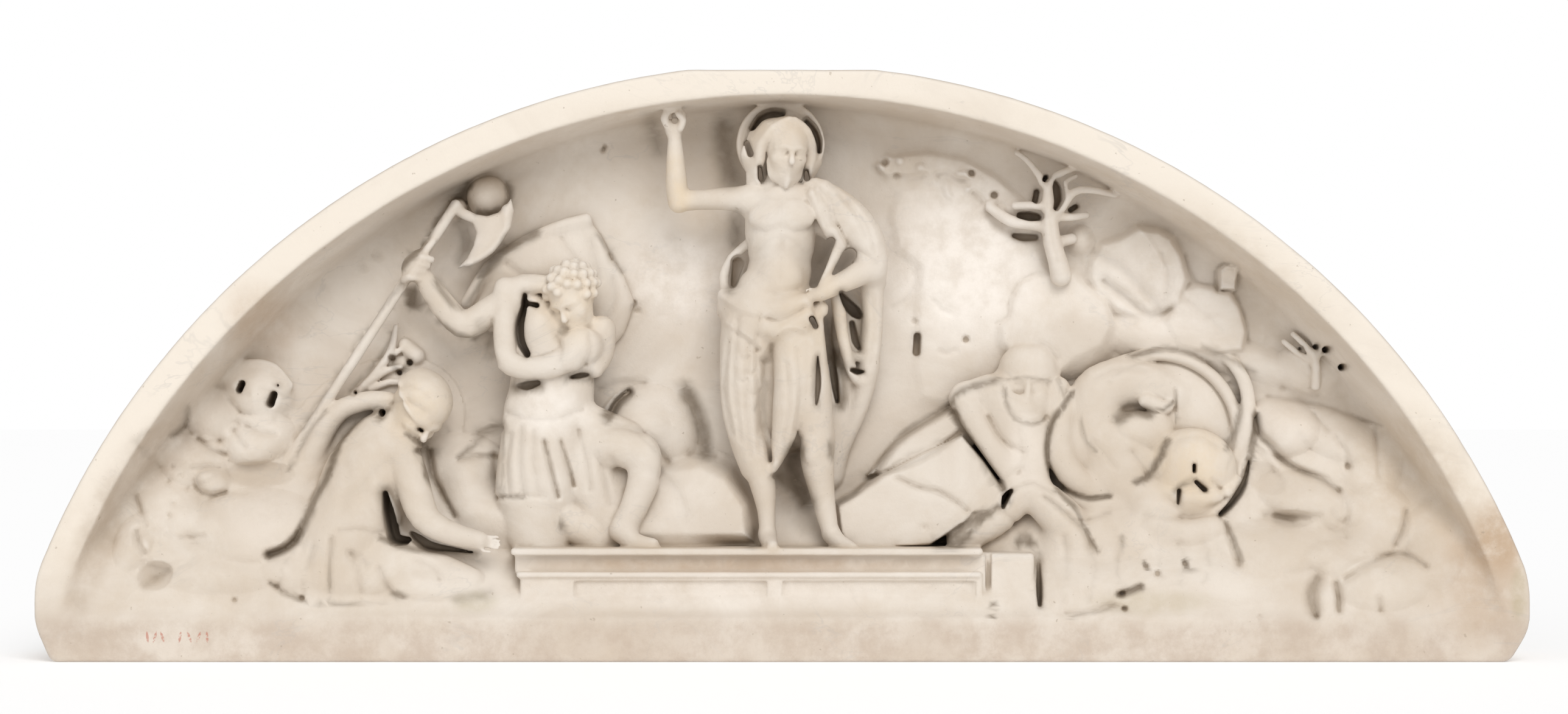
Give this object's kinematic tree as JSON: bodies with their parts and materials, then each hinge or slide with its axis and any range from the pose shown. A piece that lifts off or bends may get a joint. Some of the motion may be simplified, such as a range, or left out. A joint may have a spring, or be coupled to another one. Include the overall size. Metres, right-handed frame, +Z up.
{
  "type": "marble relief lunette",
  "caption": "Half-round marble relief panel with a raised rim: a robed figure stands on a tomb between starting and sleeping soldiers.",
  "frame": {"origin": "middle of the flat underside", "axes": "+X to the right along the base as the front is seen, +Z up, the carved front faces -Y and the flat back +Y"},
  "size_m": [0.802, 0.09, 0.3176],
  "materials": {
    "marble": "aged cream marble with pinkish beige rim, grey veins, brown stains and dark dirt in the drilled hollows"
  },
  "bodies": {
    "root": {"marble_relief": "marble"}
  },
  "joints": []
}
